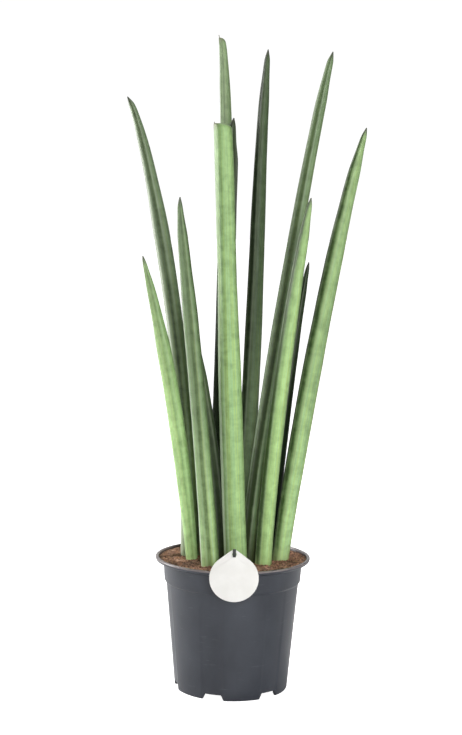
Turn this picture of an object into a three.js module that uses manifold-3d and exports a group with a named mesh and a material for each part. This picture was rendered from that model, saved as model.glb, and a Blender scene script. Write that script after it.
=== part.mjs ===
// A spear-leaved snake plant in a round nursery pot, with a blank hang tag on a stake.
// Millimetres, +Z up. The origin is the centre of the pot's floor, where it stands; -Y is the front.
import * as THREE from "three";
import { mergeVertices } from "three/addons/utils/BufferGeometryUtils.js";
import Module from "manifold-3d";

const wasm = await Module();
wasm.setup();

const GAP = 0.3; // clearance between neighbouring solids

// Pot
const POT_HEIGHT = 103;
const LIP_RADIUS = 60;
const LIP_INNER_RADIUS = 57.4;
const LIP_THICKNESS = 2.8;
const LIP_ROUND = 1.1;
const COLLAR_RADIUS = 53.8; // wall just under the lip
const COLLAR_TOP = 98.4;
const LEDGE_EDGE = 100.7; // the inside widens under the lip to a sloping ledge: its height at the lip
const LEDGE_FOOT = 99.8; // and above the collar's outer face
const STEP_HEIGHT = 84.4; // the collar stands out from the wall above this height
const STEP_OUT = 1.4;
const STEP_RISE = 1.2;
const WALL_TOP_RADIUS = 51.4; // wall just under the step
const FOOT_RADIUS = 43.8;
const WALL = 1.5;
const FLOOR = 2;
const FLOOR_PAD_RADIUS = 27; // the middle of the floor stands on the ground
const PAD_SLOPE = 1;
const CHANNEL_HEIGHT = 4.5; // the floor is raised in a ring round that pad, so water can run out
const FOOT_WIDTH = 2.6;
const FEET = 6;
const FOOT_NOTCH_ANGLE = 20; // degrees
const FIRST_NOTCH = 41.5; // degrees from the front, towards +X
const NOTCH_HEIGHT = 5;
const DRAIN_RADIUS = 3;
const DRAIN_CIRCLE = 34; // radius
const DRAIN_SIDES = 16;
const ROUND = 48; // sides of every lathe

// Potting mix
const SOIL_EDGE = 101.3;
const SOIL_MIDDLE = 99.2;
const SOIL_LUMP = 0.9;
const SOIL_RINGS = 7;

// Rhizome
const RHIZOME_LEVEL = 73.2;
const RHIZOME_REACH = 39.5; // furthest a knuckle's middle is from the pot's axis
const KNUCKLE_RADIUS = 9;
const RUNNER_RADIUS = 5;
const RUNNER_SIDES = 7;
const SPREAD = [4, 1, 0, 2, 3, 5, 9, 11, 10, 8, 7, 6]; // the leaves in the order in which the rhizome grew

// Leaves: cubic curves from the rhizome to the tip, listed left to right as seen from the front. girth is the
// diameter at each of GIRTH_AT, the fractions of the length back from the tip.
const LEAF_SEAT = 82;
const SOCKET_DEPTH = 6; // times the gap, below the seat
const TIP_DIAMETER = 0.8;
const GIRTH_AT = [0.02, 0.1, 0.3, 0.6, 1];
const GROOVE_DEPTH = 0.1; // of the radius
const GROOVE_WIDTH = 0.55; // radians
const SECTION_SIDES = 12;
const STATIONS = [0, 0.02, 0.05, 0.1, 0.18, 0.3, 0.42, 0.55, 0.7, 0.85, 1];
const leaf = (base, low, high, tip, girth) => ({ base, low, high, tip, girth });
const LEAVES = [
  leaf([-30, 1], [-37.5, -5, 172], [-49.5, -13, 255], [-71.5, -19, 335], [2.8, 6.3, 11, 12, 8.4]),
  leaf([-33, 14], [-31.5, 19, 239], [-72.5, 29, 439.5], [-87.5, 31, 457], [4.7, 8.1, 12.7, 12.8, 15.4]),
  leaf([-15.5, -23], [-29, -35, 263.5], [-44, -48, 365], [-43, -49, 379], [3.5, 7.8, 11.4, 12.3, 14.4]),
  leaf([-8, -3], [-10, -5, 174.5], [-32.5, -8, 252], [-37, -9, 303.5], [3, 7.5, 11.8, 12, 12.5]),
  leaf([-14, 14], [-7.5, 18, 300.5], [-9, 22, 424.5], [-4.5, 23, 441.5], [5.5, 12.8, 14, 14, 13.5]),
  leaf([3.5, -27], [-6, -32, 253], [-10.5, -38, 417.5], [-13, -39, 435], [13.4, 14, 13.9, 17.6, 16.8]),
  leaf([2, 26], [-4, 33, 226], [-10, 45, 487], [-15.5, 46, 507.5], [5.6, 8.3, 10.8, 12.5, 13]),
  leaf([4.5, 10], [17.5, 17, 286.5], [13, 21, 391.5], [21, 23, 494], [4.3, 8, 11, 13.7, 13]),
  leaf([10, -6], [14.5, -4, 185.5], [60, -1, 462], [69.5, -1, 490.5], [4.8, 8.4, 10.4, 12.2, 12]),
  leaf([22.5, -13], [24.5, -17, 161], [40.5, -30, 311.5], [53.5, -37, 380], [3.6, 7.9, 11, 12.4, 13.2]),
  leaf([26.5, 16], [33.5, 15, 167], [42.5, 11, 268], [55, 9, 331.5], [2.8, 5.7, 8.7, 10.3, 10.5]),
  leaf([34.5, 2], [42, 5, 154], [74.5, 13, 359], [97.5, 15, 435], [4.2, 9.2, 13.2, 15.1, 12.8]),
];

// Tag and its stake
const TAG_RADIUS = 18.3;
const TAG_THICKNESS = 0.8;
const TAG_APEX_HALF_ANGLE = 52; // degrees
const TAG_APEX_ROUND = 5;
const TAG_HOLE_RADIUS = 1.7;
const TAG_HOLE_ABOVE_CENTRE = 18.7;
const TAG_CENTRE = [1, -60.4, 98.9]; // of its back face
const TAG_TILT = 6; // degrees, the bottom towards the pot
const STAKE_WIDTH = 2.4;
const STAKE_THICKNESS = 1.6;
const STAKE_END = 52; // height of the point in the mix
const STAKE_END_Y = -45.5;
const STAKE_TOP_Y = -50.6; // just inside the lip
const HEAD_BELOW_ARM = 1.8;
const HEAD_ABOVE_ARM = 4.2;
const HEAD_Y = -64.6;
const HEAD_THICKNESS = 1.4;

const UP = new THREE.Vector3(0, 1, 0); // a cylinder's own axis
const radians = THREE.MathUtils.degToRad;

function toSolid(geometry) {
  const bare = new THREE.BufferGeometry();
  const source = geometry.index ? geometry.toNonIndexed() : geometry;
  bare.setAttribute("position", source.getAttribute("position"));
  const merged = mergeVertices(bare, 1e-4);
  return new wasm.Manifold(
    new wasm.Mesh({
      numProp: 3,
      vertProperties: merged.attributes.position.array,
      triVerts: new Uint32Array(merged.index.array),
    }),
  );
}

function toGeometry(solid) {
  const mesh = solid.getMesh();
  const geometry = new THREE.BufferGeometry();
  const positions = new Float32Array(mesh.numVert * 3);
  for (let i = 0; i < mesh.numVert; i++)
    for (let axis = 0; axis < 3; axis++)
      positions[3 * i + axis] = mesh.vertProperties[mesh.numProp * i + axis];
  geometry.setAttribute("position", new THREE.BufferAttribute(positions, 3));
  geometry.setIndex(new THREE.BufferAttribute(mesh.triVerts, 1));
  geometry.computeVertexNormals();
  return geometry;
}

// A solid of revolution about Z from [radius, height] points that run up the outside and down the inside.
function lathe(points) {
  const profile = points.map(([radius, height]) => new THREE.Vector2(radius, height));
  return new THREE.LatheGeometry(profile, ROUND).rotateX(Math.PI / 2);
}

// Radius of the wall's inner face, below the step.
function innerWall(height) {
  return FOOT_RADIUS + ((WALL_TOP_RADIUS - FOOT_RADIUS) * height) / STEP_HEIGHT - WALL;
}

function potGeometry() {
  const footInside = FOOT_RADIUS - FOOT_WIDTH;
  const lipUnderside = POT_HEIGHT - LIP_THICKNESS;
  const profile = [
    [0, 0],
    [FLOOR_PAD_RADIUS, 0],
    [FLOOR_PAD_RADIUS + PAD_SLOPE, CHANNEL_HEIGHT],
    [footInside, CHANNEL_HEIGHT],
    [footInside, 0],
    [FOOT_RADIUS, 0],
    [WALL_TOP_RADIUS, STEP_HEIGHT - STEP_RISE],
    [WALL_TOP_RADIUS + STEP_OUT, STEP_HEIGHT],
    [COLLAR_RADIUS, COLLAR_TOP],
    [COLLAR_RADIUS + LIP_ROUND, (COLLAR_TOP + lipUnderside) / 2],
    [LIP_RADIUS - LIP_ROUND / 2, lipUnderside],
    [LIP_RADIUS, lipUnderside + LIP_ROUND / 2],
    [LIP_RADIUS, POT_HEIGHT - LIP_ROUND],
    [LIP_RADIUS - LIP_ROUND / 3, POT_HEIGHT - LIP_ROUND / 3],
    [LIP_RADIUS - LIP_ROUND, POT_HEIGHT],
    [LIP_INNER_RADIUS + LIP_ROUND / 2, POT_HEIGHT],
    [LIP_INNER_RADIUS, POT_HEIGHT - LIP_ROUND / 2],
    [LIP_INNER_RADIUS, LEDGE_EDGE],
    [COLLAR_RADIUS, LEDGE_FOOT],
    [COLLAR_RADIUS - WALL, COLLAR_TOP],
    [WALL_TOP_RADIUS + STEP_OUT - WALL, STEP_HEIGHT],
    [WALL_TOP_RADIUS - WALL, STEP_HEIGHT - STEP_RISE],
    [innerWall(CHANNEL_HEIGHT + FLOOR), CHANNEL_HEIGHT + FLOOR],
    [FLOOR_PAD_RADIUS + PAD_SLOPE - FLOOR, CHANNEL_HEIGHT + FLOOR],
    [FLOOR_PAD_RADIUS - FLOOR, FLOOR],
    [0, FLOOR],
  ];
  let pot = toSolid(lathe(profile));
  for (let i = 0; i < FEET; i++) {
    const angle = radians(FIRST_NOTCH + (360 * i) / FEET);
    const width = 2 * FOOT_RADIUS * Math.sin(radians(FOOT_NOTCH_ANGLE / 2));
    const notch = new THREE.BoxGeometry(width, 3 * FOOT_WIDTH, 2 * NOTCH_HEIGHT);
    notch.translate(0, FOOT_WIDTH / 2 - FOOT_RADIUS, 0).rotateZ(angle);
    pot = pot.subtract(toSolid(notch));
    const drain = new THREE.CylinderGeometry(DRAIN_RADIUS, DRAIN_RADIUS, 4 * CHANNEL_HEIGHT, DRAIN_SIDES);
    drain.rotateX(Math.PI / 2).translate(0, -DRAIN_CIRCLE, 0).rotateZ(angle);
    pot = pot.subtract(toSolid(drain));
  }
  return toGeometry(pot);
}

// Height of the potting mix's surface: a shallow dish with lumps that fade out at the lip.
function soilHeight(x, y) {
  const reach = LIP_INNER_RADIUS - GAP;
  const fade = 1 - Math.min(1, Math.hypot(x, y) / reach) ** 2;
  const lumps = Math.sin(0.31 * x + 1.1) * Math.cos(0.27 * y) + 0.6 * Math.sin(0.53 * y - 0.35 * x);
  return SOIL_EDGE + (SOIL_MIDDLE - SOIL_EDGE) * fade + SOIL_LUMP * fade * lumps;
}

function soilSolid(cutters) {
  const padEdge = FLOOR_PAD_RADIUS - FLOOR - GAP;
  const channelTop = CHANNEL_HEIGHT + FLOOR + GAP;
  const edge = LIP_INNER_RADIUS - GAP;
  const stepEdge = WALL_TOP_RADIUS - WALL - GAP;
  const profile = [
    [0, FLOOR + GAP],
    [padEdge, FLOOR + GAP],
    [padEdge + PAD_SLOPE, channelTop],
    [innerWall(channelTop) - GAP, channelTop],
    [stepEdge, STEP_HEIGHT - STEP_RISE],
    [stepEdge + STEP_OUT, STEP_HEIGHT + GAP],
    [COLLAR_RADIUS - WALL - GAP, COLLAR_TOP],
    [COLLAR_RADIUS - GAP, LEDGE_FOOT + GAP],
    [edge, LEDGE_EDGE + GAP],
  ];
  for (let i = 0; i < SOIL_RINGS; i++)
    profile.push([edge * Math.cos((i / SOIL_RINGS) * (Math.PI / 2)), POT_HEIGHT]);
  profile.push([0, POT_HEIGHT]);
  const geometry = lathe(profile);
  const position = geometry.attributes.position;
  for (let i = 0; i < position.count; i++) {
    if (position.getZ(i) > POT_HEIGHT - GAP)
      position.setZ(i, soilHeight(position.getX(i), position.getY(i)));
  }
  return cutters.reduce((soil, cutter) => soil.subtract(cutter), toSolid(geometry));
}

function leafCurve({ base, low, high, tip }) {
  const seat = [...base, LEAF_SEAT];
  return new THREE.CubicBezierCurve3(...[seat, low, high, tip].map((p) => new THREE.Vector3(...p)));
}

// Diameter at a fraction of the length back from the tip.
function leafDiameter(girth, back) {
  const at = [0, ...GIRTH_AT];
  const diameters = [TIP_DIAMETER, ...girth];
  const i = Math.min(at.length - 2, at.filter((a) => a <= back).length - 1);
  const t = (back - at[i]) / (at[i + 1] - at[i]);
  const eased = i < 2 ? t : THREE.MathUtils.smoothstep(t, 0, 1) * 0.4 + t * 0.6;
  return diameters[i] + (diameters[i + 1] - diameters[i]) * eased;
}

// A leaf, or with grow the socket round it: rings of points along the curve, closed at both ends. The section
// is round with one shallow groove on the side that faces the middle of the plant. A socket runs on past the
// leaf's seat, into the rhizome's space.
function leafGeometry({ base, girth, ...ends }, grow = 0) {
  const curve = leafCurve({ base, ...ends });
  const inward = Math.atan2(-base[1], -base[0]);
  const positions = [];
  const indices = [];
  const last = STATIONS.length - 1;
  STATIONS.forEach((back, ring) => {
    const centre = curve.getPointAt(1 - back);
    const tangent = curve.getTangentAt(1 - back);
    if (ring === 0) centre.addScaledVector(tangent, grow);
    if (ring === last) centre.addScaledVector(tangent, -SOCKET_DEPTH * grow);
    const across = new THREE.Vector3(1, 0, 0).addScaledVector(tangent, -tangent.x).normalize();
    const along = new THREE.Vector3().crossVectors(tangent, across);
    const radius = leafDiameter(girth, back) / 2;
    for (let k = 0; k < SECTION_SIDES; k++) {
      const angle = (2 * Math.PI * k) / SECTION_SIDES;
      const off = Math.atan2(Math.sin(angle - inward), Math.cos(angle - inward));
      const groove = GROOVE_DEPTH * Math.exp(-((off / GROOVE_WIDTH) ** 2));
      const reach = radius * (1 - groove) + grow;
      const point = centre.clone().addScaledVector(across, reach * Math.cos(angle));
      point.addScaledVector(along, reach * Math.sin(angle));
      positions.push(point.x, point.y, point.z);
    }
    if (ring === 0) return;
    for (let k = 0; k < SECTION_SIDES; k++) {
      const next = (k + 1) % SECTION_SIDES;
      const above = (ring - 1) * SECTION_SIDES;
      const below = ring * SECTION_SIDES;
      indices.push(above + k, below + k, above + next, below + k, below + next, above + next);
    }
  });
  for (let k = 1; k < SECTION_SIDES - 1; k++) {
    const foot = last * SECTION_SIDES;
    indices.push(0, k, k + 1, foot, foot + k + 1, foot + k);
  }
  const geometry = new THREE.BufferGeometry();
  geometry.setAttribute("position", new THREE.Float32BufferAttribute(positions, 3));
  geometry.setIndex(indices);
  geometry.computeVertexNormals();
  return geometry;
}

// Knuckles under the leaves, joined by runners.
function rhizomeSolid(grow = 0) {
  const places = SPREAD.map((i) => new THREE.Vector3(...LEAVES[i].base, 0).clampLength(0, RHIZOME_REACH));
  places.forEach((place) => place.setZ(RHIZOME_LEVEL));
  let rhizome = null;
  places.forEach((place, i) => {
    const knuckle = new THREE.IcosahedronGeometry(KNUCKLE_RADIUS + grow).translate(...place.toArray());
    rhizome = rhizome ? rhizome.add(toSolid(knuckle)) : toSolid(knuckle);
    if (i === 0) return;
    const step = place.clone().sub(places[i - 1]);
    const radius = RUNNER_RADIUS + grow;
    const runner = new THREE.CylinderGeometry(radius, radius, step.length(), RUNNER_SIDES);
    const turn = new THREE.Quaternion().setFromUnitVectors(UP, step.clone().normalize());
    const middle = places[i - 1].clone().addScaledVector(step, 0.5);
    runner.applyQuaternion(turn).translate(...middle.toArray());
    rhizome = rhizome.add(toSolid(runner));
  });
  return rhizome;
}

// A drop: a circle, its two tangents and a rounded apex, with a hole near the apex.
function tagGeometry() {
  const half = radians(TAG_APEX_HALF_ANGLE);
  const apexCentre = (TAG_RADIUS - TAG_APEX_ROUND) / Math.sin(half);
  const drop = new THREE.Shape();
  drop.absarc(0, 0, TAG_RADIUS, Math.PI - half, half, false);
  drop.absarc(0, apexCentre, TAG_APEX_ROUND, half, Math.PI - half, false);
  drop.closePath();
  const hole = new THREE.Path().absarc(0, TAG_HOLE_ABOVE_CENTRE, TAG_HOLE_RADIUS, 0, 2 * Math.PI, true);
  drop.holes.push(hole);
  const options = { depth: TAG_THICKNESS, bevelEnabled: false, curveSegments: 16 };
  const plate = new THREE.ExtrudeGeometry(drop, options);
  return plate.rotateX(Math.PI / 2 + radians(TAG_TILT)).translate(...TAG_CENTRE);
}

// An outline of [y, z] points, as thick as the stake is wide.
function stakePlate(outline, width) {
  const side = new THREE.Shape(outline.map(([y, z]) => new THREE.Vector2(y, z)));
  const geometry = new THREE.ExtrudeGeometry(side, { depth: width, bevelEnabled: false });
  geometry.rotateX(Math.PI / 2).rotateZ(Math.PI / 2).translate(TAG_CENTRE[0] - width / 2, 0, 0);
  return toSolid(geometry);
}

// The stake's blade leans with the pot's wall: its front and back edges, each up from the pointed end.
function bladeEdges(grow = 0) {
  const front = [
    [STAKE_END_Y, STAKE_END - grow],
    [STAKE_END_Y - 1 - grow, STAKE_END + 5],
    [STAKE_TOP_Y - grow, POT_HEIGHT],
  ];
  const back = front.slice(1).map(([y, z]) => [y + STAKE_THICKNESS + 2 * grow, z]);
  return [front, back];
}

// A flat strip, seen from the side: the blade, an arm over the lip, and an upright head in front of the tag.
function stakeSolid() {
  const [front, back] = bladeEdges();
  const arm = TAG_CENTRE[2] + TAG_HOLE_ABOVE_CENTRE * Math.cos(radians(TAG_TILT));
  const half = STAKE_THICKNESS / 2;
  const bend = 4;
  const outline = [
    ...front,
    [STAKE_TOP_Y, arm - half - bend],
    [STAKE_TOP_Y - bend, arm - half],
    [HEAD_Y, arm - half],
    [HEAD_Y, arm - HEAD_BELOW_ARM],
    [HEAD_Y - HEAD_THICKNESS, arm - HEAD_BELOW_ARM],
    [HEAD_Y - HEAD_THICKNESS, arm + HEAD_ABOVE_ARM],
    [HEAD_Y, arm + HEAD_ABOVE_ARM],
    [HEAD_Y, arm + half],
    [STAKE_TOP_Y - bend + half, arm + half],
    [STAKE_TOP_Y + STAKE_THICKNESS, arm - half - bend + half],
    ...back.reverse(),
  ];
  return stakePlate(outline, STAKE_WIDTH);
}

function stakeSlot() {
  const [front, back] = bladeEdges(GAP);
  return stakePlate([...front, ...back.reverse()], STAKE_WIDTH + 2 * GAP);
}

const group = new THREE.Group();

function addPiece(name, geometry, color, roughness) {
  const material = new THREE.MeshStandardMaterial({ color, roughness, metalness: 0 });
  const mesh = new THREE.Mesh(geometry, material);
  mesh.name = name;
  group.add(mesh);
}

const sockets = LEAVES.map((leaf) => toSolid(leafGeometry(leaf, GAP)));
const soil = soilSolid([...sockets, rhizomeSolid(GAP), stakeSlot()]);

addPiece("pot", potGeometry(), 0x4a4d54, 0.5);
addPiece("soil", toGeometry(soil), 0x5f4030, 1);
addPiece("rhizome", toGeometry(rhizomeSolid()), 0xc9b98f, 0.8);
LEAVES.forEach((leaf, i) => {
  addPiece(`leaf_${String(i + 1).padStart(2, "0")}`, leafGeometry(leaf), 0x86ad6c, 0.5);
});
addPiece("tag", tagGeometry(), 0xf2f1ec, 0.45);
addPiece("tag_stake", toGeometry(stakeSolid()), 0x1c1d1f, 0.5);

export default group;
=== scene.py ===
"""A potted snake plant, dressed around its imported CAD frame. Metres, +Z up, and -Y is the front."""

import math
import random

import bmesh
import bpy
import numpy as np
from mathutils import Matrix, Vector, noise


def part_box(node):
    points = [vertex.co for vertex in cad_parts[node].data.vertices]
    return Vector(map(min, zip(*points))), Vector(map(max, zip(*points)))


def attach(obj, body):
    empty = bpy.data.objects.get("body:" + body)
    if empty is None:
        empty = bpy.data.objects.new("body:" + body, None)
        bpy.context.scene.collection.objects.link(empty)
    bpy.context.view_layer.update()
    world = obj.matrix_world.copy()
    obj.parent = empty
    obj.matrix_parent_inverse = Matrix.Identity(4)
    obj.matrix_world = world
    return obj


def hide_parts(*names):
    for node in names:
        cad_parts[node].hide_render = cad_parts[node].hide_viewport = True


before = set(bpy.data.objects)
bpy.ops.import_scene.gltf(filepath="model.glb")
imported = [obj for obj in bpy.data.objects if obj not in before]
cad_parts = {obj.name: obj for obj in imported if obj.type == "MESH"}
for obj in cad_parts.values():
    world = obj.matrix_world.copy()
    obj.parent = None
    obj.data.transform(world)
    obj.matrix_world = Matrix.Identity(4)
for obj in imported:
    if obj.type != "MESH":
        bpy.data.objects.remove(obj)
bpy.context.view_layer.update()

MM = 0.001
SEED = 12
noise.seed_set(SEED)  # noise_vector would differ from run to run without it

# Camera, room and lights
CAMERA_AT = Vector((-3.7, -1200, 362)) * MM
CAMERA_DOWN = 5.34  # degrees
CAMERA_ROLL = 0.92  # degrees
CAMERA_LENS = 76.7
SENSOR_WIDTH = 36
FLOOR_REACH = 30.0  # metres
FLOOR_DROP = 0.2  # mm under the pot's foot
FLOOR_GLOW = 1.0  # what the camera sees the floor shine with, to match the room
ROOM_SEEN = 1.05  # brightness of the room as the camera sees it
ROOM_DARK = 0.03  # and as it lights the plant, in front
ROOM_BRIGHT = 0.9  # and on its bright side
ROOM_BRIGHT_SIDE = Vector((-0.5, 0.85, 0.15))  # behind, a little to the left
LIGHTS_AIM = (0, 0, 0.25)
# name, bearing from the front towards +X in degrees, distance, height, size, watts
LIGHTS = (
    ("key", 10, 1.8, 0.8, (0.6, 1.0), 26),
    ("rim", -108, 1.4, 0.5, (0.5, 1.4), 31),
    ("side", 62, 1.6, 0.45, (0.25, 0.9), 7.5),
    ("top", 150, 0.7, 1.9, (1.0, 1.0), 5),
)

# Pot, as the CAD has it, in mm
POT_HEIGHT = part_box("pot")[1].z / MM
LIP_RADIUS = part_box("pot")[1].x / MM
LIP_INNER = 57.4
LIP_THICKNESS = 2.8
LIP_FLARE = 0.6  # how far the lip's underside stops short of its edge
LIP_EDGE = 1.2  # height of that slope
COLLAR_RADIUS = 53.8
COLLAR_TOP = 98.4
LEDGE_EDGE = 100.7
LEDGE_FOOT = 99.8
STEP_HEIGHT = 84.4
STEP_OUT = 1.4
STEP_RISE = 1.2
WALL_TOP = 51.4
FOOT_RADIUS = 43.8
FOOT_WIDTH = 2.6
WALL = 1.5
FLOOR = 2
PAD_RADIUS = 27
PAD_SLOPE = 1
CHANNEL = 4.5
FEET = 6
NOTCH_ANGLE = 20  # degrees
FIRST_NOTCH = 41.5  # degrees from the front
NOTCH_SLOPE = 2.5  # degrees
FOOT_RIM = 1.2  # height below which the outline is the rim that the notches are cut in
DRAIN_RADIUS = 3
DRAIN_CIRCLE = 34
DRAIN_SIDES = 40
POT_ROUNDING = 0.9
POT_STEPS = 360
WALL_SLOPE = (WALL_TOP - FOOT_RADIUS) / STEP_HEIGHT

# Potting mix, in mm
GAP = 0.3  # to the pot
SOIL_EDGE = 101.3
SOIL_MIDDLE = 99.2
SOIL_RINGS = 96
SOIL_STEPS = 300
LITTER_INSET = 2.5  # how far crumbs and fibres stay from the lip
CRUMBS = 900
FIBRES = 330
FIBRE_PARTS = 7
FIBRE_SIDES = 5

# Leaves
DARK_GREEN = (0.024, 0.042, 0.016)
PALE_GREEN = (0.35, 0.535, 0.215)
DARK_TIP = (0.06, 0.06, 0.05, 1)
DRY_TIP = (0.17, 0.15, 0.11, 1)
# Colour of the pale margins beside a leaf's groove and of the painted pale highlight down its left rim, and
# a rim highlight stripe of no strength.
MARGIN_AND_RIM_HIGHLIGHT = (0.60, 0.64, 0.54, 1)
NO_RIM_HIGHLIGHT = (-74, 13, 0, 0)
LEAF_RINGS = 11  # rings of points in a CAD leaf
SIDES = 56
STATION_STEP = 2.2  # mm along a leaf
TIP_REACH = 12  # mm, where the steps are fine
TIP_STEP = 0.5
SPIKE_RADIUS = 0.85  # mm, of a blunt leaf's spike at its root
SPIKE_TAPER = 0.65
SHOULDER_POWER = 2.4  # above 2 for a squarer shoulder than a round one
LEAN_REACH = 0.9
SKIN = 0.99  # of the CAD radius, so that ripples stay inside it
GROOVE_HALF_WIDTH = 13  # degrees
GROOVE_DEPTH = 0.07  # of the radius
RIDGE_BEARING = 24  # degrees to either side of the groove
RIDGE_HALF_WIDTH = 7
RIDGE_HEIGHT = 0.01
RIPPLE = 0.018
DENT = 0.1  # mm
DENT_FULL_RADIUS = 4  # mm, the dents shrink where a leaf is thinner
SWAY = 4  # degrees that the groove and the stripes wander
SWAY_RATE = 21  # radians a metre


def look(channel, paleness_and_painted_light, grey, *painted_stripes, rim_highlight=NO_RIM_HIGHLIGHT, foot=0.5, gloss=0.3, lean=0, blunt=0, tip=DARK_TIP):
    return dict(
        channel=channel,
        paleness_and_painted_light=paleness_and_painted_light,
        grey=grey,
        painted_stripes=painted_stripes,
        rim_highlight=rim_highlight,
        foot=foot,
        gloss=gloss,
        lean=lean,
        blunt=blunt,
        tip=tip,
    )


# How each leaf looks. First come the bearing of its channel from the front in degrees, how pale it is at its
# foot, its middle and its top (0 for DARK_GREEN, 1 for PALE_GREEN, or beyond), and how grey it is. How pale
# is partly the leaf's own green and partly painted light and shade, dark for leaves that stand in shade in
# the clump.
# Then come painted stripes of light and shade down its length, paler (above 0) or darker (below 0), each as
# (bearing, half width, amount at the foot, amount at the tip). The stripe given by keyword after them is a
# painted pale highlight down the leaf's left rim. foot is how far its very foot is bleached or, below 0,
# darkened with painted shade. lean is how far its tip lies to one side in radii, and blunt is the part of
# its last stretch in which it closes to a thin dry spike.
LEAVES = {
    "leaf_01": look(8, (1.3, 1.25, 0.65), 0.1, (50, 28, 0.2, 0.05), rim_highlight=(-74, 13, 0.3, 0.1)),
    "leaf_02": look(
        -6,
        (0.6, 0.4, 0.38),
        0.5,
        (-10, 13, -0.4, -0.15),
        (30, 22, 0.3, 0.1),
        rim_highlight=(-66, 22, 0.6, 0.9),
        foot=0.2,
    ),
    "leaf_03": look(
        -2,
        (0.95, 0.4, 0.34),
        0.12,
        (84, 20, -0.3, -0.3),
        (62, 22, 0, -0.4),
        (-4, 12, -0.3, 0),
        (30, 17, 0.35, 0.1),
        rim_highlight=(-74, 14, 0.9, 0.4),
    ),
    "leaf_04": look(10, (0, 0.05, 0.2), 0.25, foot=-0.95, gloss=0.2),
    "leaf_05": look(30, (0, 0, 0.05), 0.3, foot=-0.95, gloss=0.15),
    "leaf_06": look(
        -60,
        (0.92, 0.92, 0.88),
        0,
        (-27, 15, -0.2, -0.2),
        (76, 24, -0.1, -0.3),
        (22, 14, 0.1, 0.05),
        rim_highlight=(-74, 14, 1, 0.3),
        lean=-1,
        blunt=0.85,
        tip=DRY_TIP,
    ),
    "leaf_07": look(
        -40,
        (0.4, 0.48, 0.58),
        0.4,
        (18, 22, 0.2, 0.25),
        rim_highlight=(-74, 13, 0.2, 0.3),
        lean=-0.8,
        blunt=0.72,
        tip=DRY_TIP,
    ),
    "leaf_08": look(
        -45,
        (0.35, 0.14, 0.14),
        0.3,
        (-55, 44, -0.35, -0.65),
        (42, 30, 0.1, 0.3),
        foot=-0.95,
        gloss=0.2,
    ),
    "leaf_09": look(
        -15,
        (0.4, 0.38, 0.34),
        0.2,
        (-25, 28, -0.95, 0.0),
        (28, 24, 0.1, 0.2),
        rim_highlight=(-74, 13, 0.3, 0.5),
        foot=-0.85,
    ),
    "leaf_10": look(
        -50,
        (1, 0.94, 0.75),
        0,
        (-68, 38, -0.65, -0.8),
        (18, 24, 0.2, 0.2),
        (76, 20, -0.2, -0.2),
    ),
    "leaf_11": look(-20, (-0.05, -0.05, 0.0), 0.25, foot=-0.95, gloss=0.12),
    "leaf_12": look(
        -38,
        (1.2, 0.8, 0.75),
        0.08,
        (-66, 34, -0.65, -0.65),
        (5, 14, 0.12, 0.1),
        (64, 22, -0.15, -0.15),
    ),
}

# Tag, as the CAD has it, in mm
TAG_BACK = -60.4  # y of its back face's middle
TAG_TILT = 6  # degrees
TAG_THICKNESS = 0.8
TAG_APEX_HALF_ANGLE = 52  # degrees
TAG_APEX_ROUND = 5
TAG_HOLE_RADIUS = 1.7
TAG_HOLE_ABOVE_CENTRE = 18.7
TAG_ROUND_STEPS = 120
TAG_APEX_STEPS = 30
TAG_HOLE_STEPS = 32
TAG_BEVEL = 0.18

# Stake and rhizome, in mm
STAKE_BEVEL = 0.3
RHIZOME_VOXEL = 1.2
RHIZOME_BUMPS = 0.5


# ---------------------------------------------------------------- helpers


class Shader:
    """A material whose nodes are added with their inputs, by name or by _number.

    An input that is a value is set, and one that is a socket is linked.
    """

    def __init__(self, name):
        self.material = bpy.data.materials.new(name)
        self.material.use_nodes = True
        self.tree = self.material.node_tree
        self.tree.nodes.clear()

    def add(self, kind, out=0, settings=None, **inputs):
        node = self.tree.nodes.new("ShaderNode" + kind)
        for key, value in (settings or {}).items():
            setattr(node, key, value)
        for key, value in inputs.items():
            socket = node.inputs[int(key[1:])] if key[0] == "_" else node.inputs[key.replace("_", " ")]
            if isinstance(value, bpy.types.NodeSocket):
                self.tree.links.new(value, socket)
            else:
                socket.default_value = value
        return node.outputs[out]

    def attribute(self, name, out="Vector"):
        return self.add("Attribute", out, {"attribute_name": name})

    def scaled(self, vector, scale):
        return self.add("VectorMath", 0, {"operation": "MULTIPLY"}, _0=vector, _1=scale)

    def noise(self, vector, detail=3, roughness=0.5, scale=1.0):
        return self.add("TexNoise", "Fac", Vector=vector, Scale=scale, Detail=detail, Roughness=roughness)

    def remap(self, value, low, high, to_low=0.0, to_high=1.0):
        ends = {"From_Min": low, "From_Max": high, "To_Min": to_low, "To_Max": to_high}
        return self.add("MapRange", Value=value, **ends)

    def mix(self, factor, a, b, blend="MIX"):
        return self.add("Mix", 2, {"data_type": "RGBA", "blend_type": blend}, _0=factor, _6=a, _7=b)

    def math(self, operation, a, b=0.0):
        return self.add("Math", 0, {"operation": operation}, _0=a, _1=b)

    def bump(self, height, distance, strength):
        return self.add("Bump", Height=height, Distance=distance, Strength=strength)

    def finish(self, color, roughness, **inputs):
        shader = self.add("BsdfPrincipled", Base_Color=color, Roughness=roughness, **inputs)
        output = self.tree.nodes.new("ShaderNodeOutputMaterial")
        self.tree.links.new(shader, output.inputs["Surface"])
        return self.material


def add_object(name, mesh, material):
    mesh.materials.append(material)
    piece = bpy.data.objects.new(name, mesh)
    bpy.context.scene.collection.objects.link(piece)
    return piece


def mesh_of(bm, name):
    mesh = bpy.data.meshes.new(name)
    bm.to_mesh(mesh)
    bm.free()
    return mesh


def shade_smooth(mesh):
    for polygon in mesh.polygons:
        polygon.use_smooth = True


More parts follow.
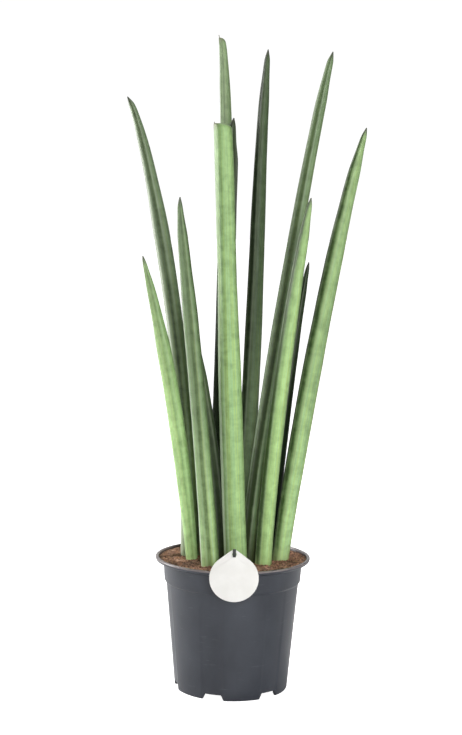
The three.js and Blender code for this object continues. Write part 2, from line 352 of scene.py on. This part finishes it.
def new_object(name, vertices, faces, material):
    mesh = bpy.data.meshes.new(name)
    mesh.from_pydata([tuple(v) for v in vertices], [], faces)
    mesh.validate()
    bm = bmesh.new()
    bm.from_mesh(mesh)
    bmesh.ops.recalc_face_normals(bm, faces=bm.faces)
    bm.to_mesh(mesh)
    bm.free()
    shade_smooth(mesh)
    return add_object(name, mesh, material)


def cad_copy(node, name, material):
    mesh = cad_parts[node].data.copy()
    mesh.materials.clear()
    return add_object(name, mesh, material)


def add_piece(piece, slot, *replaced):
    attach(piece, "root")
    if replaced:
        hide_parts(*replaced)
    return piece


def apply_modifiers(piece):
    bpy.context.view_layer.update()
    graph = bpy.context.evaluated_depsgraph_get()
    mesh = bpy.data.meshes.new_from_object(piece.evaluated_get(graph))
    piece.modifiers.clear()
    piece.data = mesh


def crease(piece, degrees):
    """Smooth shading that breaks where faces meet at more than this angle."""
    mesh = piece.data
    bm = bmesh.new()
    bm.from_mesh(mesh)
    for edge in bm.edges:
        edge.smooth = len(edge.link_faces) == 2 and edge.calc_face_angle(0) < math.radians(degrees)
    bm.to_mesh(mesh)
    bm.free()


def rounded(points, radius, steps=4):
    """An outline with each inner corner turned into a small curve that starts radius away from it."""
    out = [points[0]]
    for before, corner, after in zip(points, points[1:], points[2:]):
        c = Vector(corner)
        a = Vector(before) - c
        b = Vector(after) - c
        ra = min(radius, a.length * 0.45)
        rb = min(radius, b.length * 0.45)
        start = c + a.normalized() * ra
        end = c + b.normalized() * rb
        for i in range(steps + 1):
            t = i / steps
            out.append(tuple((1 - t) ** 2 * start + 2 * t * (1 - t) * c + t * t * end))
    return out + [points[-1]]


def tube_faces(rings, sides, first=0):
    """Faces between rings of vertices, each ring after the one before it, from the vertex first on."""
    faces = []
    for a in range(first, first + (rings - 1) * sides, sides):
        for k in range(sides):
            n = (k + 1) % sides
            faces.append((a + k, a + n, a + sides + n, a + sides + k))
    return faces


def closed_tube_faces(rings, sides, first=0):
    """The same with a face over each end."""
    last = first + (rings - 1) * sides
    return tube_faces(rings, sides, first) + [tuple(range(start, start + sides)) for start in (first, last)]


def lathe(profile, steps, reshape=None):
    """Vertices and faces of an outline turned about Z. Its first and last points lie on the axis."""
    vertices = []
    inner = profile[1:-1]
    for radius, height in inner:
        for k in range(steps):
            angle = 2 * math.pi * k / steps
            z = reshape(radius, height, angle) if reshape else height
            vertices.append((radius * math.sin(angle), -radius * math.cos(angle), z))
    faces = tube_faces(len(inner), steps)
    for end, ring in ((profile[0], 0), (profile[-1], len(inner) - 1)):
        vertices.append((0, 0, end[1]))
        for k in range(steps):
            faces.append((ring * steps + k, ring * steps + (k + 1) % steps, len(vertices) - 1))
    return np.array(vertices), faces


def hermite(knots, values, slopes, at):
    """Smooth curve through values at knots, sampled at each of at."""
    i = np.clip(np.searchsorted(knots, at, side="right") - 1, 0, len(knots) - 2)
    span = knots[i + 1] - knots[i]
    t = (at - knots[i]) / span
    if values.ndim > 1:
        t = t[:, None]
        span = span[:, None]
    return (
        (2 * t**3 - 3 * t**2 + 1) * values[i]
        + (t**3 - 2 * t**2 + t) * span * slopes[i]
        + (3 * t**2 - 2 * t**3) * values[i + 1]
        + (t**3 - t**2) * span * slopes[i + 1]
    )


def level_slopes(knots, values):
    """Slopes that never make the curve overshoot its values."""
    steps = np.diff(values) / np.diff(knots)
    slopes = np.zeros(len(values))
    same = steps[:-1] * steps[1:] > 0
    slopes[1:-1][same] = 2 / (1 / steps[:-1][same] + 1 / steps[1:][same])
    slopes[0], slopes[-1] = steps[0], steps[-1]
    return slopes


# ---------------------------------------------------------------- materials


def leaf_green(paleness_and_painted_light, grey):
    """Base colour of a leaf between its dark and its pale green, some of it greyed. How pale also carries
    painted light and shade.
    """
    color = [d + (p - d) * paleness_and_painted_light for d, p in zip(DARK_GREEN, PALE_GREEN)]
    level = sum(color) / 3
    return tuple(c + (level - c) * grey * 0.6 for c in color) + (1,)


def leaf_ground(s, skin, rise, paleness_and_painted_light, grey):
    """Colour from the foot to the top, with painted light and shade in how pale it is, drawn with fine
    yellowish and bluish lines.
    """
    low, mid, top = (leaf_green(p, grey) for p in paleness_and_painted_light)
    color = s.mix(s.remap(rise, 0.1, 0.5), low, mid)
    color = s.mix(s.remap(rise, 0.5, 0.9), color, top)
    yellow = s.mix(1.0, color, (1.06, 1.01, 0.82, 1), "MULTIPLY")
    blue = s.mix(1.0, color, (0.95, 1.0, 1.14, 1), "MULTIPLY")
    lines = s.noise(s.scaled(skin, (15, 15, 3)), detail=2)
    return s.mix(s.remap(lines, 0.38, 0.62), yellow, blue)


def leaf_shaded(s, color, shade):
    """The colour made darker by a shade above 0, or lighter by one below 0."""
    dark = s.mix(1.0, color, (0.13, 0.16, 0.10, 1), "MULTIPLY")
    light = s.mix(1.0, color, (1.25, 1.22, 1.3, 1), "MULTIPLY")
    return s.mix(s.math("MULTIPLY", shade, -4.0), s.mix(shade, color, dark), light)


def leaf_foot(s, color, rise, streaks, foot):
    """The colour with its lowest part bleached, or darkened with painted shade if foot is below 0."""
    low_down = s.math("ADD", rise, s.math("MULTIPLY", streaks, 0.03))
    if foot > 0:
        return s.mix(s.remap(low_down, 0.05, 0.10, foot, 0), color, (0.40, 0.46, 0.20, 1))
    return s.mix(s.remap(low_down, 0.07, 0.15, -foot, 0), color, (0.03, 0.035, 0.012, 1))


def leaf_material(name, paleness_and_painted_light, grey, foot, gloss, tip):
    s = Shader(name)
    skin = s.attribute("skin")
    rise, from_tip, girth, channel, margin_and_rim_highlight, tone = (
        s.attribute(part, "Fac") for part in ("rise", "from_tip", "girth", "channel", "margin_and_rim_highlight", "tone")
    )
    bands = s.noise(s.scaled(skin, (0.7, 0.7, 170)), detail=3, roughness=0.6)
    mottle = s.noise(s.scaled(skin, (2.2, 2.2, 110)), detail=4, roughness=0.65)
    streaks = s.noise(s.scaled(skin, (8, 8, 9)), detail=4, roughness=0.65)
    fine = s.noise(s.scaled(skin, (24, 24, 160)), detail=2)
    shade = s.math("ADD", s.remap(bands, 0.42, 0.66, 0, 0.2), s.remap(mottle, 0.38, 0.68, 0, 0.22))
    shade = s.math("ADD", shade, s.remap(streaks, 0.42, 0.68, 0, 0.22))
    # Painted shade in the groove.
    shade = s.math("ADD", shade, s.math("MULTIPLY", channel, 0.22))
    # Take off the painted light and shade of the stripes: their darker parts are painted shade, their paler
    # parts painted highlight.
    shade = s.math("SUBTRACT", shade, tone)
    color = leaf_shaded(s, leaf_ground(s, skin, rise, paleness_and_painted_light, grey), shade)
    # Pale margins beside the groove, and a painted pale highlight down the leaf's left rim.
    color = s.mix(s.math("MULTIPLY", margin_and_rim_highlight, 0.55), color, MARGIN_AND_RIM_HIGHLIGHT)
    color = leaf_foot(s, color, rise, streaks, foot)
    dry = s.remap(s.math("ADD", from_tip, s.math("MULTIPLY", fine, 0.004)), 0.003, 0.010, 0.9, 0)
    color = s.mix(dry, color, tip)
    height = s.math("ADD", s.math("MULTIPLY", streaks, 0.85), s.math("MULTIPLY", fine, 0.15))
    relief = s.math("MULTIPLY", girth, s.remap(from_tip, 0.0, 0.08))
    normal = s.bump(s.math("MULTIPLY", height, relief), 0.03, 0.5)
    return s.finish(color, s.remap(mottle, 0.3, 0.7, 0.40, 0.52), Normal=normal, Specular_IOR_Level=gloss)


def pot_material():
    s = Shader("pot_plastic")
    place = s.add("TexCoord", "Object")
    cloud = s.noise(s.scaled(place, (35, 35, 22)), detail=4, roughness=0.55)
    grain = s.noise(s.scaled(place, (1600, 1600, 1600)), detail=1)
    scuff = s.noise(s.scaled(place, (60, 60, 420)), detail=5, roughness=0.65)
    color = s.mix(s.remap(cloud, 0.3, 0.7), (0.022, 0.025, 0.034, 1), (0.038, 0.043, 0.055, 1))
    color = s.mix(s.remap(scuff, 0.62, 0.8, 0, 0.25), color, (0.16, 0.165, 0.175, 1))
    height = s.add("SeparateXYZ", "Z", Vector=place)
    # The lip's top is made paler, pinker and glossier: partly real dust from the mix, partly a painted
    # highlight.
    lip = s.remap(height, (POT_HEIGHT - 1.6) * MM, (POT_HEIGHT - 0.8) * MM)
    dust_and_highlight = s.math("MULTIPLY", lip, s.remap(scuff, 0.35, 0.65, 0.25, 0.75))
    color = s.mix(dust_and_highlight, color, (0.30, 0.245, 0.235, 1))
    roughness = s.math("SUBTRACT", s.remap(cloud, 0.3, 0.7, 0.3, 0.42), s.math("MULTIPLY", lip, 0.12))
    return s.finish(color, roughness, Normal=s.bump(grain, 0.00012, 0.35))


def soil_material():
    s = Shader("soil_coir")
    place = s.add("TexCoord", "Object")
    lumps = s.noise(s.scaled(place, (260, 260, 260)), detail=5, roughness=0.65)
    crumbs = s.add("TexVoronoi", "Distance", Vector=s.scaled(place, (520, 520, 520)), Scale=1.0)
    patches = s.noise(s.scaled(place, (48, 48, 48)), detail=3)
    # Lighter on the lumps and darker in the hollows between them: the mix's own mottle together with painted
    # shade in the hollows.
    color = s.mix(s.remap(lumps, 0.35, 0.65), (0.09, 0.045, 0.026, 1), (0.60, 0.32, 0.20, 1))
    color = s.mix(s.remap(patches, 0.52, 0.66, 0, 0.6), color, (0.74, 0.44, 0.32, 1))
    color = s.mix(s.remap(patches, 0.36, 0.48, 0.75, 0), color, (0.05, 0.03, 0.014, 1))
    color = s.mix(s.remap(crumbs, 0.0, 0.7, 0.5, 0), color, (0.035, 0.018, 0.012, 1))
    height = s.math("SUBTRACT", lumps, s.math("MULTIPLY", crumbs, 0.6))
    return s.finish(color, 0.95, Normal=s.bump(height, 0.0016, 0.9))


def fibre_material():
    s = Shader("coir_fibre")
    place = s.add("TexCoord", "Object")
    tone = s.noise(s.scaled(place, (300, 300, 300)), detail=3)
    color = s.mix(s.remap(tone, 0.35, 0.65), (0.10, 0.045, 0.025, 1), (0.42, 0.24, 0.13, 1))
    return s.finish(color, 0.85, Normal=s.bump(tone, 0.0004, 0.6))


def tag_material():
    s = Shader("tag_card")
    place = s.add("TexCoord", "Object")
    fibres = s.noise(s.scaled(place, (900, 900, 900)), detail=3)
    cloud = s.noise(s.scaled(place, (90, 90, 90)), detail=3)
    color = s.mix(s.remap(cloud, 0.35, 0.65), (0.745, 0.735, 0.71, 1), (0.70, 0.69, 0.66, 1))
    return s.finish(color, s.remap(cloud, 0.3, 0.7, 0.35, 0.5), Normal=s.bump(fibres, 0.00008, 0.3))


def stake_material():
    s = Shader("stake_plastic")
    place = s.add("TexCoord", "Object")
    cloud = s.noise(s.scaled(place, (300, 300, 300)), detail=3)
    color = s.mix(cloud, (0.012, 0.014, 0.013, 1), (0.03, 0.032, 0.03, 1))
    return s.finish(color, s.remap(cloud, 0.3, 0.7, 0.3, 0.5), Normal=s.bump(cloud, 0.0001, 0.3))


def rhizome_material():
    s = Shader("rhizome_skin")
    place = s.add("TexCoord", "Object")
    rings = s.noise(s.scaled(place, (90, 90, 90)), detail=4, roughness=0.6)
    color = s.mix(s.remap(rings, 0.35, 0.65), (0.50, 0.36, 0.19, 1), (0.72, 0.60, 0.38, 1))
    return s.finish(color, 0.7, Normal=s.bump(rings, 0.0008, 0.6))


def floor_material():
    s = Shader("studio_floor")
    place = s.add("TexCoord", "Object")
    cloud = s.noise(s.scaled(place, (4, 4, 4)), detail=2)
    color = s.mix(cloud, (0.90, 0.90, 0.90, 1), (0.93, 0.93, 0.93, 1))
    seen = s.add("LightPath", "Is Camera Ray")
    glow = s.math("MULTIPLY", seen, FLOOR_GLOW)
    return s.finish(color, 0.9, Emission_Strength=glow, Emission_Color=(1, 1, 1, 1))


# ---------------------------------------------------------------- pieces


def cad_rings(node):
    """Centres and radii of the rings of points that a CAD leaf is made of, from its seat to its tip."""
    points = np.array([v.co[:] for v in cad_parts[node].data.vertices])
    points = np.unique(np.round(points, 6), axis=0)
    top = points[np.argmax(points[:, 2])]
    foot = points[points[:, 2] < points[:, 2].min() + 3 * MM].mean(0)
    height = points @ ((top - foot) / np.linalg.norm(top - foot))
    order = np.argsort(height)
    splits = np.sort(np.argsort(np.diff(height[order]))[1 - LEAF_RINGS :]) + 1
    rings = np.split(points[order], splits)
    centres = np.array([(ring.max(0) + ring.min(0)) / 2 for ring in rings])
    radii = np.array([np.linalg.norm(r - c, axis=1).max() for r, c in zip(rings, centres)])
    return centres, radii


def leaf_stations(length):
    """Distances along a leaf, close together near its tip."""
    fine_from = length - TIP_REACH * MM
    return np.r_[
        np.linspace(0, fine_from, int(fine_from / (STATION_STEP * MM)), endpoint=False),
        np.linspace(fine_from, length, int(TIP_REACH / TIP_STEP) + 1),
    ]


def leaf_path(node, lean, blunt):
    """Distances along a leaf with its middle, direction, radius and shift to one side at each."""
    centres, radii = cad_rings(node)
    knots = np.r_[0, np.cumsum(np.linalg.norm(np.diff(centres, axis=0), axis=1))]
    last_stretch = knots[-2]
    at = leaf_stations(knots[-1])
    path = hermite(knots, centres, np.gradient(centres, knots, axis=0), at)
    girth = hermite(knots, radii, level_slopes(knots, radii), at)
    if blunt:
        shoulder = np.clip((at - last_stretch) / (knots[-1] - last_stretch) / blunt, 0, 1)
        spike = SPIKE_RADIUS * MM * (1 - SPIKE_TAPER * shoulder)
        closing = spike + (radii[-2] - spike) * np.sqrt(1 - shoulder**SHOULDER_POWER)
        girth = np.where(shoulder > 0, closing, girth)
    directions = np.gradient(path, at, axis=0)
    widest = np.interp(last_stretch, at, girth)
    aside = np.where(at > last_stretch, np.maximum(0, widest - girth) * lean * LEAN_REACH, 0)
    return at, path, directions, girth, aside


def stripe_amount(stripe, bearing, rise):
    """How strong a stripe is at a bearing round the leaf: even across its width, soft at its edges."""
    middle, half_width, at_foot, at_tip = stripe
    away = math.remainder(bearing - middle, 360) / half_width
    return (at_foot + (at_tip - at_foot) * rise) * math.exp(-(away**4))


def skin_reach(x, y, along, radius, phase, groove, ridge):
    """Distance from a leaf's middle to its skin, with its groove, ripples and dents."""
    ripple = noise.noise(Vector((3.2 * x + phase, 3.2 * y, along * 9)))
    dent = noise.noise(Vector((0.8 * x, 0.8 * y + phase, along * 60)))
    reach = radius * (SKIN - GROOVE_DEPTH * groove + RIDGE_HEIGHT * ridge + RIPPLE * ripple)
    return reach + DENT * MM * dent * min(1, radius / (DENT_FULL_RADIUS * MM))


def build_leaf(node, channel, painted_stripes, rim_highlight, lean, blunt, **skin_look):
    at, path, directions, girth, aside = leaf_path(node, lean, blunt)
    phase = random.Random(SEED + int(node[-2:])).uniform(0, 100)
    vertices, skin, channels, margins_and_rim_highlights, painted_light_and_shade = [], [], [], [], []
    for along, centre, direction, radius, shift in zip(at, path, directions, girth, aside):
        t = Vector(direction).normalized()
        across = (Vector((1, 0, 0)) - t * t.x).normalized()
        forward = t.cross(across)
        middle = Vector(centre) + across * shift
        rise = along / at[-1]
        for k in range(SIDES):
            angle = 2 * math.pi * k / SIDES
            x, y = math.sin(angle), -math.cos(angle)
            bearing = math.degrees(angle) - SWAY * math.sin(along * SWAY_RATE + phase)
            off = abs(math.remainder(bearing - channel, 360))
            groove = math.exp(-((off / GROOVE_HALF_WIDTH) ** 2))
            ridge = math.exp(-(((off - RIDGE_BEARING) / RIDGE_HALF_WIDTH) ** 2))
            reach = skin_reach(x, y, along, radius, phase, groove, ridge)
            vertices.append(middle + across * reach * x + forward * reach * y)
            skin.append((x + phase, y, along))
            channels.append(groove)
            # Pale margins beside the groove, and the painted pale highlight down the left rim.
            margins_and_rim_highlights.append(0.2 * ridge + stripe_amount(rim_highlight, bearing, rise))
            # The painted light and shade of the stripes.
            painted_light_and_shade.append(sum(stripe_amount(stripe, bearing, rise) for stripe in painted_stripes))
    faces = closed_tube_faces(len(at), SIDES)
    piece = new_object("snake_" + node, vertices, faces, leaf_material("skin_" + node, **skin_look))
    attributes = piece.data.attributes
    attributes.new("skin", "FLOAT_VECTOR", "POINT").data.foreach_set("vector", np.array(skin).ravel())
    apex = np.mean(vertices[-SIDES:], axis=0)
    for name, values in (
        ("channel", channels),
        ("margin_and_rim_highlight", margins_and_rim_highlights),
        ("tone", painted_light_and_shade),
        ("rise", np.repeat(at, SIDES) / at[-1]),
        ("girth", np.repeat(girth, SIDES)),
        ("from_tip", np.linalg.norm(np.array(vertices) - apex, axis=1)),
    ):
        attributes.new(name, "FLOAT", "POINT").data.foreach_set("value", values)
    crease(piece, 60)
    return add_piece(piece, "leaf", node)


def notched_foot(radius, height, angle):
    """Height of a point of the pot, raised where a notch is cut in its foot."""
    if radius < (FOOT_RADIUS - FOOT_WIDTH - 0.1) * MM or height > FOOT_RIM * MM:
        return height
    off = abs(math.remainder(math.degrees(angle) - FIRST_NOTCH, 360 / FEET))
    up = min(1, max(0, (NOTCH_ANGLE / 2 + NOTCH_SLOPE / 2 - off) / NOTCH_SLOPE))
    return height + up * (CHANNEL - 0.1) * MM


def cut_drain(pot, place):
    drill = bmesh.new()
    radius = DRAIN_RADIUS * MM
    bmesh.ops.create_cone(
        drill, cap_ends=True, segments=DRAIN_SIDES, radius1=radius, radius2=radius, depth=0.03
    )
    cutter = bpy.data.objects.new("drill", mesh_of(drill, "drill"))
    cutter.location = place
    bpy.context.scene.collection.objects.link(cutter)
    cut = pot.modifiers.new("drain", "BOOLEAN")
    cut.operation = "DIFFERENCE"
    cut.solver = "EXACT"
    cut.object = cutter
    apply_modifiers(pot)
    bpy.data.objects.remove(cutter)


def build_pot():
    inside = FOOT_RADIUS - FOOT_WIDTH
    under_lip = POT_HEIGHT - LIP_THICKNESS
    ceiling = CHANNEL + FLOOR
    outline = [
        (0, 0),
        (PAD_RADIUS, 0),
        (PAD_RADIUS + PAD_SLOPE, CHANNEL),
        (inside, CHANNEL),
        (inside, 0),
        (FOOT_RADIUS, 0),
        (WALL_TOP, STEP_HEIGHT - STEP_RISE),
        (WALL_TOP + STEP_OUT, STEP_HEIGHT),
        (COLLAR_RADIUS, COLLAR_TOP),
        (LIP_RADIUS - LIP_FLARE, under_lip),
        (LIP_RADIUS, under_lip + LIP_EDGE),
        (LIP_RADIUS, POT_HEIGHT),
        (LIP_INNER, POT_HEIGHT),
        (LIP_INNER, LEDGE_EDGE),
        (COLLAR_RADIUS, LEDGE_FOOT),
        (COLLAR_RADIUS - WALL, COLLAR_TOP),
        (WALL_TOP + STEP_OUT - WALL, STEP_HEIGHT),
        (WALL_TOP - WALL, STEP_HEIGHT - STEP_RISE),
        (FOOT_RADIUS + WALL_SLOPE * ceiling - WALL, ceiling),
        (PAD_RADIUS + PAD_SLOPE - FLOOR, ceiling),
        (PAD_RADIUS - FLOOR, FLOOR),
        (0, FLOOR),
    ]
    profile = [(r * MM, z * MM) for r, z in rounded(outline, POT_ROUNDING)]
    vertices, faces = lathe(profile, POT_STEPS, notched_foot)
    pot = new_object("nursery_pot", vertices, faces, pot_material())
    for i in range(FEET):
        angle = math.radians(FIRST_NOTCH + 360 * i / FEET)
        cut_drain(pot, Vector((math.sin(angle), -math.cos(angle), 0)) * DRAIN_CIRCLE * MM)
    crease(pot, 38)
    return add_piece(pot, "pot", "pot")


def soil_level(x, y):
    """Height of the mix at a place, in metres: a shallow dish, lumps and crumbs."""
    out = min(1, math.hypot(x, y) / (LIP_INNER * MM))
    dish = (SOIL_MIDDLE + (SOIL_EDGE - SOIL_MIDDLE) * out * out) * MM
    place = Vector((x, y, 0))
    lumps = noise.noise(place * 55) * 0.0016 + noise.noise(place * 150 + Vector((7, 0, 0))) * 0.0011
    grains = noise.noise(place * 520) * 0.0006 + noise.noise(place * 1300) * 0.00035
    return dish + (lumps + grains) * (1 - 0.8 * out**4)


def build_soil():
    ceiling = CHANNEL + FLOOR + GAP
    edge = LIP_INNER - GAP
    sides = [
        (0, FLOOR + GAP),
        (PAD_RADIUS - FLOOR - GAP, FLOOR + GAP),
        (PAD_RADIUS + PAD_SLOPE - FLOOR - GAP, ceiling),
        (FOOT_RADIUS + WALL_SLOPE * ceiling - WALL - GAP, ceiling),
        (WALL_TOP - WALL - GAP, STEP_HEIGHT - STEP_RISE),
        (WALL_TOP + STEP_OUT - WALL - GAP - 0.1, STEP_HEIGHT + GAP),
        (COLLAR_RADIUS - WALL - GAP, COLLAR_TOP),
        (COLLAR_RADIUS - GAP, LEDGE_FOOT + GAP),
        (edge, LEDGE_EDGE + GAP),
    ]
    # The top is drawn level with the lip, and each point then drops to the mix.
    top = [(edge * (1 - i / SOIL_RINGS), POT_HEIGHT) for i in range(SOIL_RINGS)]
    profile = [(r * MM, z * MM) for r, z in sides + top + [(0, POT_HEIGHT)]]
    vertices, faces = lathe(profile, SOIL_STEPS)
    for vertex in vertices:
        if vertex[2] > (POT_HEIGHT - 0.01) * MM:
            vertex[2] = soil_level(vertex[0], vertex[1])
    return add_piece(new_object("potting_mix", vertices, faces, soil_material()), "soil", "soil")


def build_crumbs(rng, reach):
    bm = bmesh.new()
    for _ in range(CRUMBS):
        angle = rng.uniform(0, 2 * math.pi)
        out = reach * math.sqrt(rng.random())
        x, y = out * math.cos(angle), out * math.sin(angle)
        size = rng.uniform(0.4, 1.3) * MM
        place = Matrix.Translation((x, y, soil_level(x, y) + 0.2 * size))
        spin = rng.uniform(0, 6.28)
        turn = Matrix.Rotation(spin, 4, Vector((rng.random(), rng.random(), rng.random() + 0.1)))
        shape = Matrix.Diagonal((rng.uniform(0.7, 1.5), rng.uniform(0.6, 1), rng.uniform(0.5, 0.9), 1))
        made = bmesh.ops.create_icosphere(bm, subdivisions=1, radius=size, matrix=place @ turn @ shape)
        for v in made["verts"]:
            v.co += noise.noise_vector(v.co * 900) * size * 0.35
    return add_piece(add_object("soil_crumbs", mesh_of(bm, "soil_crumbs"), soil_material()), "soil")


def fibre_points(rng, reach):
    """Rings of points along a fibre that lies on the mix, arched and bent, and turns back at the lip."""
    angle = rng.uniform(0, 2 * math.pi)
    out = reach * math.sqrt(rng.random())
    heading = rng.uniform(0, 2 * math.pi)
    bend = rng.uniform(-0.5, 0.5)
    length = rng.uniform(3, 11) * MM
    thick = rng.uniform(0.10, 0.28) * MM
    lift = rng.uniform(0.2, 1.0) * MM
    x, y = out * math.cos(angle), out * math.sin(angle)
    points = []
    for j in range(FIBRE_PARTS):
        t = j / (FIBRE_PARTS - 1)
        middle = Vector((x, y, soil_level(x, y) + thick + lift * math.sin(math.pi * t)))
        side = Vector((-math.sin(heading), math.cos(heading), 0))
        r = thick * (1 - 0.6 * t)
        for k in range(FIBRE_SIDES):
            a = 2 * math.pi * k / FIBRE_SIDES
            points.append(middle + side * r * math.cos(a) + Vector((0, 0, r * math.sin(a))))
        x += math.cos(heading) * length / FIBRE_PARTS
        y += math.sin(heading) * length / FIBRE_PARTS
        heading += bend
        if math.hypot(x, y) > reach:
            heading += math.pi / 3
    return points


def build_fibres(rng, reach):
    vertices = []
    faces = []
    for _ in range(FIBRES):
        faces += closed_tube_faces(FIBRE_PARTS, FIBRE_SIDES, len(vertices))
        vertices += fibre_points(rng, reach)
    return add_piece(new_object("coir_fibres", vertices, faces, fibre_material()), "soil")


def build_litter():
    rng = random.Random(SEED)
    reach = (LIP_INNER - LITTER_INSET) * MM
    build_crumbs(rng, reach)
    build_fibres(rng, reach)


def arc(centre_y, radius, start, sweep, steps):
    """Points of an arc about (0, centre_y), both ends included."""
    angles = [start + sweep * k / steps for k in range(steps + 1)]
    return [(radius * math.cos(a), centre_y + radius * math.sin(a)) for a in angles]


def tag_card(radius):
    """The drop-shaped card with its hole, flat on z = 0 and its round part about the origin."""
    half = math.radians(TAG_APEX_HALF_ANGLE)
    apex_round = TAG_APEX_ROUND * MM
    apex = (radius - apex_round) / math.sin(half)
    outline = arc(0, radius, math.pi - half, math.pi + 2 * half, TAG_ROUND_STEPS)
    outline += arc(apex, apex_round, half, math.pi - 2 * half, TAG_APEX_STEPS)[1:-1]
    hole = arc(TAG_HOLE_ABOVE_CENTRE * MM, TAG_HOLE_RADIUS * MM, 0, 2 * math.pi, TAG_HOLE_STEPS)[:-1]
    bm = bmesh.new()
    loops = [[bm.verts.new((x, y, 0)) for x, y in points] for points in (outline, hole)]
    edges = [bm.edges.new((p[i], p[(i + 1) % len(p)])) for p in loops for i in range(len(p))]
    bmesh.ops.triangle_fill(bm, edges=edges, use_beauty=True)
    made = bmesh.ops.extrude_face_region(bm, geom=bm.faces[:])
    for v in made["geom"]:
        if isinstance(v, bmesh.types.BMVert):
            v.co.z += TAG_THICKNESS * MM
    bmesh.ops.recalc_face_normals(bm, faces=bm.faces)
    return mesh_of(bm, "hang_tag")


def build_tag():
    low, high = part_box("tag")
    radius = (high.x - low.x) / 2
    tilt = math.radians(TAG_TILT)
    mesh = tag_card(radius)
    turn = Matrix.Rotation(math.pi / 2 + tilt, 4, "X")
    # The lowest point of the turned card is its round edge's bottom.
    place = Vector(((high.x + low.x) / 2, TAG_BACK * MM, low.z + radius * math.cos(tilt)))
    mesh.transform(Matrix.Translation(place) @ turn)
    tag = add_object("hang_tag", mesh, tag_material())
    bevel = tag.modifiers.new("edge", "BEVEL")
    bevel.width = TAG_BEVEL * MM
    bevel.segments = 3
    bevel.limit_method = "ANGLE"
    apply_modifiers(tag)
    shade_smooth(tag.data)
    crease(tag, 35)
    return add_piece(tag, "tag", "tag")


def build_stake():
    stake = cad_copy("tag_stake", "tag_hook", stake_material())
    bm = bmesh.new()
    bm.from_mesh(stake.data)
    bmesh.ops.remove_doubles(bm, verts=bm.verts, dist=1e-5)
    bmesh.ops.dissolve_limit(bm, angle_limit=0.02, verts=bm.verts, edges=bm.edges)
    bm.to_mesh(stake.data)
    bm.free()
    bevel = stake.modifiers.new("edge", "BEVEL")
    bevel.width = STAKE_BEVEL * MM
    bevel.segments = 3
    apply_modifiers(stake)
    shade_smooth(stake.data)
    crease(stake, 40)
    return add_piece(stake, "tag_stake", "tag_stake")


def build_rhizome():
    rhizome = cad_copy("rhizome", "buried_rhizome", rhizome_material())
    remesh = rhizome.modifiers.new("skin", "REMESH")
    remesh.mode = "VOXEL"
    remesh.voxel_size = RHIZOME_VOXEL * MM
    soften = rhizome.modifiers.new("soften", "SMOOTH")
    soften.iterations = 6
    apply_modifiers(rhizome)
    for v in rhizome.data.vertices:
        v.co += noise.noise_vector(v.co * 160) * RHIZOME_BUMPS * MM
    shade_smooth(rhizome.data)
    return add_piece(rhizome, "rhizome", "rhizome")


# ---------------------------------------------------------------- studio


def area_light(name, at, size, watts):
    data = bpy.data.lights.new(name, "AREA")
    data.shape = "RECTANGLE"
    data.size, data.size_y = size
    data.energy = watts
    light = bpy.data.objects.new(name, data)
    light.location = at
    light.rotation_euler = (Vector(LIGHTS_AIM) - Vector(at)).to_track_quat("-Z", "Y").to_euler()
    bpy.context.scene.collection.objects.link(light)


def build_lights():
    for name, bearing, distance, height, size, watts in LIGHTS:
        turn = math.radians(bearing)
        at = (distance * math.sin(turn), -distance * math.cos(turn), height)
        area_light(name, at, size, watts)


def build_floor():
    reach = FLOOR_REACH
    corners = [(-reach, -reach, 0), (reach, -reach, 0), (reach, reach, 0), (-reach, reach, 0)]
    floor = new_object("floor", corners, [(0, 1, 2, 3)], floor_material())
    floor.location.z = -FLOOR_DROP * MM


def build_room():
    """A plain white room to the camera, which lights the plant from its bright side only."""
    world = bpy.data.worlds.new("white_studio")
    bpy.context.scene.world = world
    world.use_nodes = True
    nodes, links = world.node_tree.nodes, world.node_tree.links
    nodes.clear()
    rays = nodes.new("ShaderNodeLightPath")
    place = nodes.new("ShaderNodeTexCoord")
    facing = nodes.new("ShaderNodeVectorMath")
    facing.operation = "DOT_PRODUCT"
    facing.inputs[1].default_value = ROOM_BRIGHT_SIDE.normalized()
    links.new(place.outputs["Generated"], facing.inputs[0])
    behind = nodes.new("ShaderNodeMapRange")
    behind.inputs["From Min"].default_value = 0.1
    behind.inputs["From Max"].default_value = 1.0
    behind.inputs["To Min"].default_value = ROOM_DARK
    behind.inputs["To Max"].default_value = ROOM_BRIGHT
    links.new(facing.outputs["Value"], behind.inputs["Value"])
    strength = nodes.new("ShaderNodeMix")
    links.new(behind.outputs["Result"], strength.inputs["A"])
    strength.inputs["B"].default_value = ROOM_SEEN
    links.new(rays.outputs["Is Camera Ray"], strength.inputs["Factor"])
    glow = nodes.new("ShaderNodeBackground")
    glow.inputs["Color"].default_value = (1, 1, 1, 1)
    links.new(strength.outputs["Result"], glow.inputs["Strength"])
    output = nodes.new("ShaderNodeOutputWorld")
    links.new(glow.outputs["Background"], output.inputs["Surface"])


def build_camera():
    data = bpy.data.cameras.new("camera")
    data.lens = CAMERA_LENS
    data.sensor_width = SENSOR_WIDTH
    camera = bpy.data.objects.new("camera", data)
    down = Matrix.Rotation(math.radians(90 - CAMERA_DOWN), 4, "X")
    roll = Matrix.Rotation(math.radians(CAMERA_ROLL), 4, "Z")
    camera.matrix_world = Matrix.Translation(CAMERA_AT) @ down @ roll
    bpy.context.scene.collection.objects.link(camera)
    bpy.context.scene.camera = camera
    bpy.context.scene.view_settings.view_transform = "Standard"


build_camera()
build_floor()
build_room()
build_lights()
build_pot()
build_soil()
build_litter()
build_rhizome()
for leaf, leaf_look in LEAVES.items():
    build_leaf(leaf, **leaf_look)
build_tag()
build_stake()
